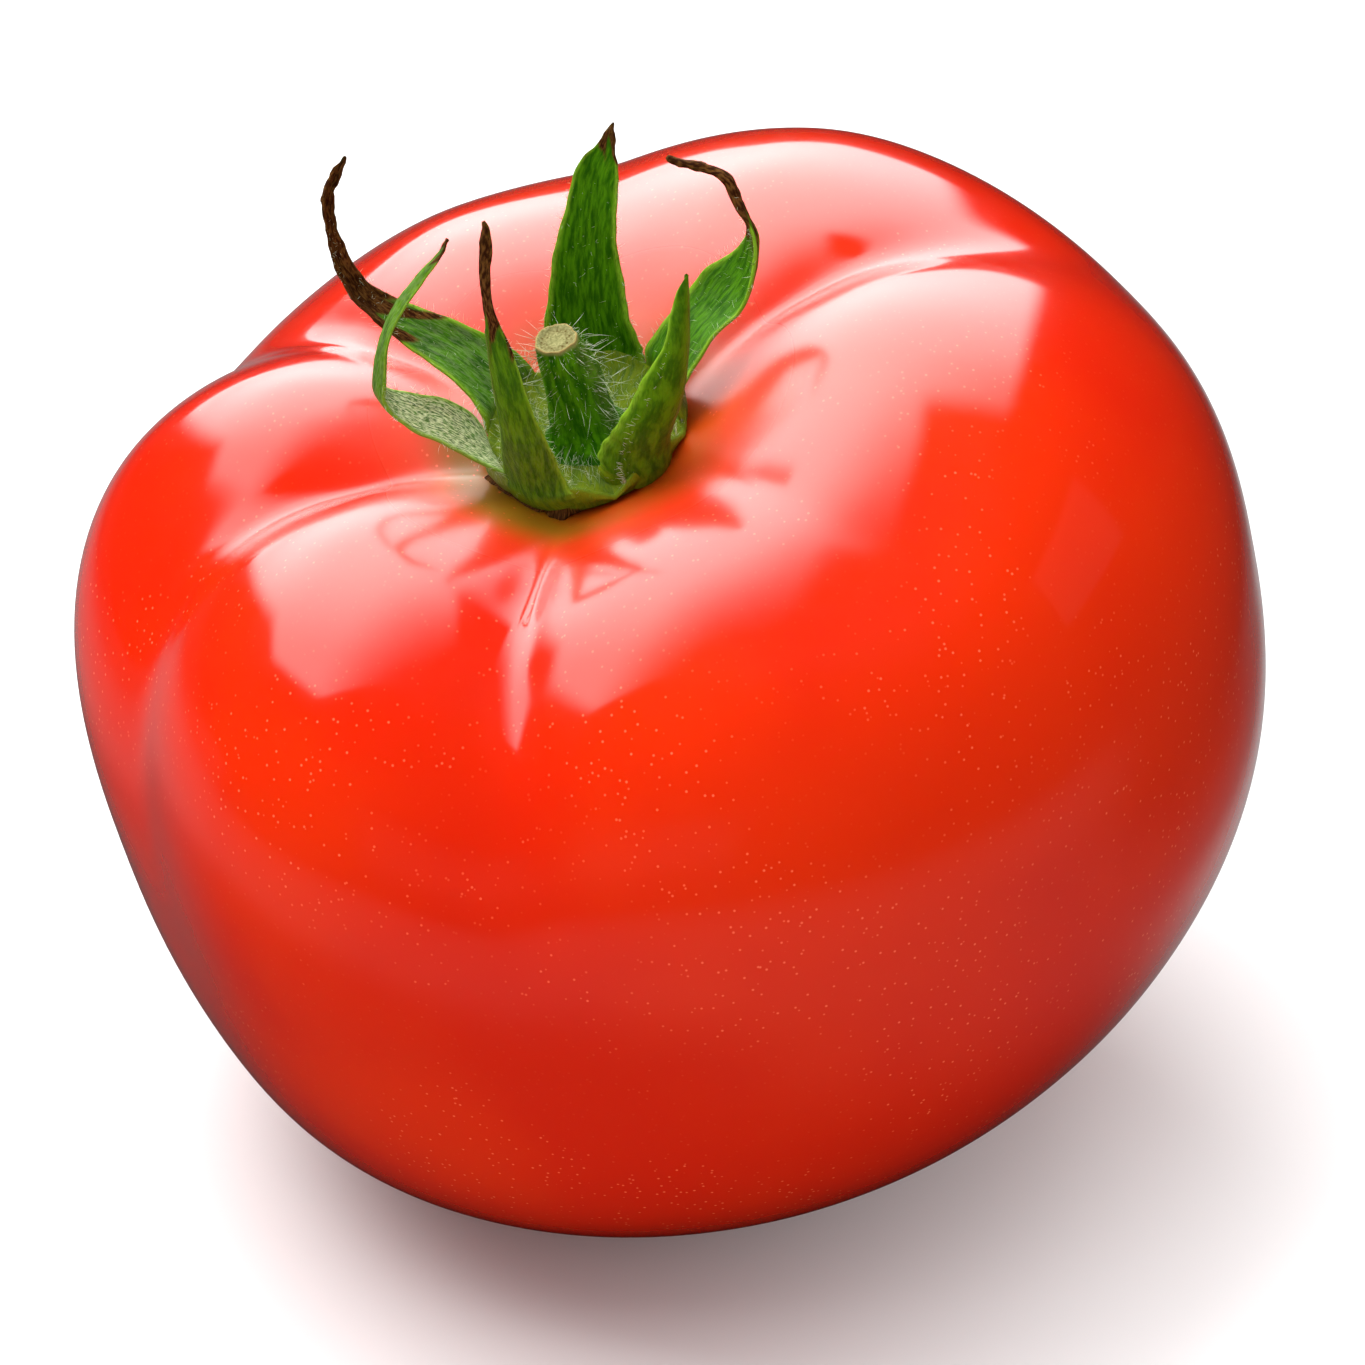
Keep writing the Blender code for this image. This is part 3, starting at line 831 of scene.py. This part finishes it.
def leaf_material():
    """Green leaf, streaked along it and paler at its edges, going maroon and brown where it has dried."""
    material, tree, shader = new_material("calyx_leaf")
    place = attribute(tree, "blade_place", "Vector")
    across = maths(tree, "ABSOLUTE", attribute(tree, "across"))
    along = attribute(tree, "along")
    inner = attribute(tree, "inner")
    dry = attribute(tree, "dry")
    pale = attribute(tree, "pale")
    streak = noise_at(tree, place, 3.2, 4.0, 0.65)
    fine = noise_at(tree, place, 11.0, 3.0, 0.6)
    inside = blend(tree, ranged(tree, streak, 0.35, 0.65), *LEAF_INSIDE)
    outside = blend(tree, ranged(tree, streak, 0.35, 0.65), *LEAF_OUTSIDE)
    green = blend(tree, inner, outside, inside)
    shown = ranged(tree, inner, 0.0, 1.0, 0.35, 1.0)
    shown = maths(tree, "MULTIPLY", shown, ranged(tree, along, 0.50, 0.38, 0.3, 1.0))
    frost = maths(tree, "MULTIPLY", pale, shown)
    frost = maths(tree, "MULTIPLY", frost, ranged(tree, fine, 0.40, 0.60, 0.1, 0.95))
    frosted = blend(tree, frost, green, LEAF_FROST)
    edge = ranged(tree, across, 0.80, 0.99)
    edge = maths(tree, "MULTIPLY", edge, ranged(tree, fine, 0.3, 0.6, 0.3, 0.9))
    edged = blend(tree, edge, frosted, LEAF_EDGE)
    base = ranged(tree, along, 0.20, 0.08)
    base = maths(tree, "MULTIPLY", base, ranged(tree, streak, 0.4, 0.6, 0.4, 0.85))
    rooted = blend(tree, base, edged, LEAF_ROOT)
    brown = blend(tree, ranged(tree, fine, 0.40, 0.66), *LEAF_DRIED)
    uneven = maths(tree, "SUBTRACT", streak, 0.5)
    reach = maths(tree, "ADD", dry, maths(tree, "MULTIPLY", uneven, 0.9))
    dried = blend(tree, ranged(tree, reach, 0.30, 0.72), rooted, brown)
    tree.links.new(dried, shader.inputs["Base Color"])
    tree.links.new(ranged(tree, dry, 0.2, 0.8, 0.42, 0.72), shader.inputs["Roughness"])
    height = maths(tree, "ADD", streak, maths(tree, "MULTIPLY", fine, 0.4))
    add_bump(tree, shader, height, 0.5, 0.0003)
    shader.inputs["Specular IOR Level"].default_value = 0.04
    shader.inputs["Subsurface Weight"].default_value = 0.15
    shader.inputs["Subsurface Radius"].default_value = (0.4, 1.0, 0.1)
    shader.inputs["Subsurface Scale"].default_value = 0.0008
    return material


def stem_material():
    """Green ribbed stem with a paler ridge, darker towards its foot as painted shade, and a cream cut with a
    ring of brown fibres.
    """
    material, tree, shader = new_material("stem_skin")
    place = attribute(tree, "stem_place", "Vector")
    cut = attribute(tree, "cut")
    share = attribute(tree, "share")
    along = attribute(tree, "along")
    stretched = {0: place, 1: (1, 1, 0.18)}
    stretched = add_node(tree, "ShaderNodeVectorMath", stretched, operation="MULTIPLY").outputs[0]
    streak = noise_at(tree, stretched, 1.9, 4.0, 0.6)
    fine = noise_at(tree, place, 5.5, 3.0, 0.6)
    green = blend(tree, ranged(tree, streak, 0.35, 0.65), *STEM_GREENS)
    ridge = maths(tree, "MULTIPLY", attribute(tree, "ridge"), ranged(tree, fine, 0.35, 0.6, 0.2, 0.8))
    ridged = blend(tree, ridge, green, STEM_RIDGE_GREEN)
    # Painted shade: darker towards the foot, down in the cup.
    foot = blend(tree, ranged(tree, along, 0.30, 0.0, 0.0, 0.7), ridged, STEM_FOOT_PAINTED_SHADE)
    worn = blend(tree, ranged(tree, along, 0.93, 1.0, 0.0, 0.8), foot, STEM_WORN)
    cream = blend(tree, ranged(tree, fine, 0.35, 0.65), *CUT_CREAMS)
    cells = add_node(tree, "ShaderNodeTexVoronoi", {"Vector": place, "Scale": 3.4}).outputs["Distance"]
    ring = maths(tree, "MULTIPLY", ranged(tree, share, 0.40, 0.52), ranged(tree, share, 0.86, 0.74))
    fibres = maths(tree, "MULTIPLY", ring, ranged(tree, cells, 0.42, 0.18, 0.25, 1.0))
    face = blend(tree, fibres, cream, CUT_FIBRES)
    pith = blend(tree, ranged(tree, share, 0.36, 0.10, 0.0, 0.5), face, CUT_PITH)
    tan = blend(tree, ranged(tree, share, 0.90, 0.98, 0.0, 0.6), pith, CUT_EDGE)
    tree.links.new(blend(tree, cut, worn, tan), shader.inputs["Base Color"])
    tree.links.new(ranged(tree, cut, 0.0, 1.0, 0.45, 0.85), shader.inputs["Roughness"])
    height = maths(tree, "ADD", streak, maths(tree, "MULTIPLY", fine, 0.5))
    add_bump(tree, shader, height, 0.6, 0.0003)
    shader.inputs["Specular IOR Level"].default_value = 0.04
    return material


def hair_material():
    """Pale hairs, greenish at the root and whiter at the tip."""
    material, tree, shader = new_material("plant_hair")
    along = attribute(tree, "along")
    patch = noise_at(tree, attribute(tree, "hair_place", "Vector"), 0.7, 2.0)
    tip = blend(tree, ranged(tree, patch, 0.35, 0.65), *HAIR_TIPS)
    colour = blend(tree, ranged(tree, along, 0.0, 0.7), HAIR_ROOT, tip)
    tree.links.new(colour, shader.inputs["Base Color"])
    shader.inputs["Roughness"].default_value = 0.45
    return material


# ---------------- camera, floor and light
VIEW_ELEVATION = 33
VIEW_DISTANCE = 500 * MM
LENS = 178.9
LOOK_AT = Vector((1.8, 0.0, 37.4)) * MM
# How far the camera is moved sideways and upwards without turning it, in millimetres.
FRAMING = (0.70, 0.55)
FLOOR_SIZE = 1.6
FLOOR_DROP = 0.05 * MM
# Strength of the white room as it lights the fruit, and in what the fruit reflects.
ROOM_FILL = 0.54
ROOM_REFLECTED = 0.012
# Each light: place, width and height in metres, watts, and the way that it faces.
SOFTBOX = ((-0.27, 0.3525, 0.379), (1.26, 1.52), 32, (0, -0.394, -0.919))
SOFTBOX_CORE = (-0.20, 0.34, 0.38)
SIDE_LIGHT = ((0.60, -0.04, 0.40), (0.26, 0.26), 0.02, (-0.85, 0.05, -0.50))
FILL_LIGHTS = {
    "key_fill": ((-0.27, 0.20, 0.53), (0.7, 0.7), 5.6, (0.43, -0.29, -0.84)),
    "front_fill": ((-0.32, -0.86, 0.12), (0.7, 0.3), 2.1, (0.34, 0.91, -0.08)),
    "top_fill": ((-0.02, -0.04, 0.80), (0.9, 0.9), 3.6, (0, 0, -1)),
}


def make_camera():
    camera = bpy.data.objects.new("camera", bpy.data.cameras.new("camera"))
    bpy.context.scene.collection.objects.link(camera)
    camera.data.lens = LENS
    camera.data.sensor_width = 36
    tilt = math.radians(VIEW_ELEVATION)
    away = Vector((0, -math.cos(tilt), math.sin(tilt)))
    up = Vector((0, math.sin(tilt), math.cos(tilt)))
    place = LOOK_AT + away * VIEW_DISTANCE
    camera.location = place + Vector((FRAMING[0], 0, 0)) * MM + up * FRAMING[1] * MM
    camera.rotation_euler = (math.pi / 2 - tilt, 0, 0)
    bpy.context.scene.camera = camera


def make_light(name, place, size, watts, facing):
    """A rectangular area light."""
    data = bpy.data.lights.new(name, "AREA")
    data.shape = "RECTANGLE"
    data.size, data.size_y = size
    data.energy = watts
    light = bpy.data.objects.new(name, data)
    bpy.context.scene.collection.objects.link(light)
    light.location = place
    light.rotation_euler = Vector(facing).to_track_quat("-Z", "Y").to_euler()
    return light


def make_softbox():
    """The light that makes the highlights, and nothing else.

    It is brightest round its core, fades at its slanting front, and has a notch in its front right corner.
    """
    light = make_light("softbox", *SOFTBOX)
    light.visible_diffuse = False
    light.data.use_nodes = True
    tree = light.data.node_tree
    spot = add_node(tree, "ShaderNodeNewGeometry").outputs["Position"]
    across, back = add_node(tree, "ShaderNodeSeparateXYZ", {0: spot}).outputs[:2]
    shade = ranged(tree, distance_to(tree, spot, SOFTBOX_CORE), 0.62, 0.12, 0.50, 0.94)
    left = maths(tree, "ADD", across, ranged(tree, back, 0.22, 0.0, 0.0, 0.17))
    front = maths(tree, "SUBTRACT", back, maths(tree, "MULTIPLY", across, 0.55))
    rear = maths(tree, "ADD", back, maths(tree, "MULTIPLY", across, 0.5))
    sides = ((left, -0.71, -0.56), (across, 0.28, 0.23), (front, -0.20, 0.20), (rear, 0.94, 0.87))
    for measure, dark, bright in sides:
        shade = maths(tree, "MULTIPLY", shade, ranged(tree, measure, dark, bright))
    notch = maths(tree, "MULTIPLY", ranged(tree, across, 0.04, 0.09), ranged(tree, back, 0.14, 0.08))
    shade = maths(tree, "MULTIPLY", shade, maths(tree, "SUBTRACT", 1.0, notch))
    tree.links.new(shade, tree.nodes["Emission"].inputs["Strength"])


def make_floor():
    bpy.ops.mesh.primitive_plane_add(size=FLOOR_SIZE, location=(0, 0, -FLOOR_DROP))
    floor = bpy.context.object
    floor.name = "floor"
    floor.data.materials.append(floor_material())


def make_world():
    """A room that is white to the camera, even and soft on the fruit, and nearly dark in its reflections."""
    world = bpy.data.worlds.new("studio")
    bpy.context.scene.world = world
    world.use_nodes = True
    tree = world.node_tree
    seen = tree.nodes["Background"]
    seen.inputs["Color"].default_value = WHITE
    seen.inputs["Strength"].default_value = 1.0
    ray = add_node(tree, "ShaderNodeLightPath")
    strength = ranged(tree, ray.outputs["Is Glossy Ray"], 0.0, 1.0, ROOM_FILL, ROOM_REFLECTED)
    room = add_node(tree, "ShaderNodeBackground", {"Color": WHITE, "Strength": strength})
    mixed = add_node(tree, "ShaderNodeMixShader", {0: ray.outputs["Is Camera Ray"]})
    tree.links.new(room.outputs[0], mixed.inputs[1])
    tree.links.new(seen.outputs[0], mixed.inputs[2])
    tree.links.new(mixed.outputs[0], tree.nodes["World Output"].inputs["Surface"])


bpy.context.scene.view_settings.view_transform = "Standard"
make_fruit(skin_material())
leaf = leaf_material()
make_cup(leaf)
for sepal_name in SEPALS:
    make_sepal(sepal_name, leaf)
make_stem(stem_material())
hair = hair_material()
stem_hairs(hair)
calyx_hairs(hair)
make_floor()
make_world()
make_softbox()
make_light("side_light", *SIDE_LIGHT)
for fill_name, fill in FILL_LIGHTS.items():
    make_light(fill_name, *fill).visible_glossy = False
make_camera()
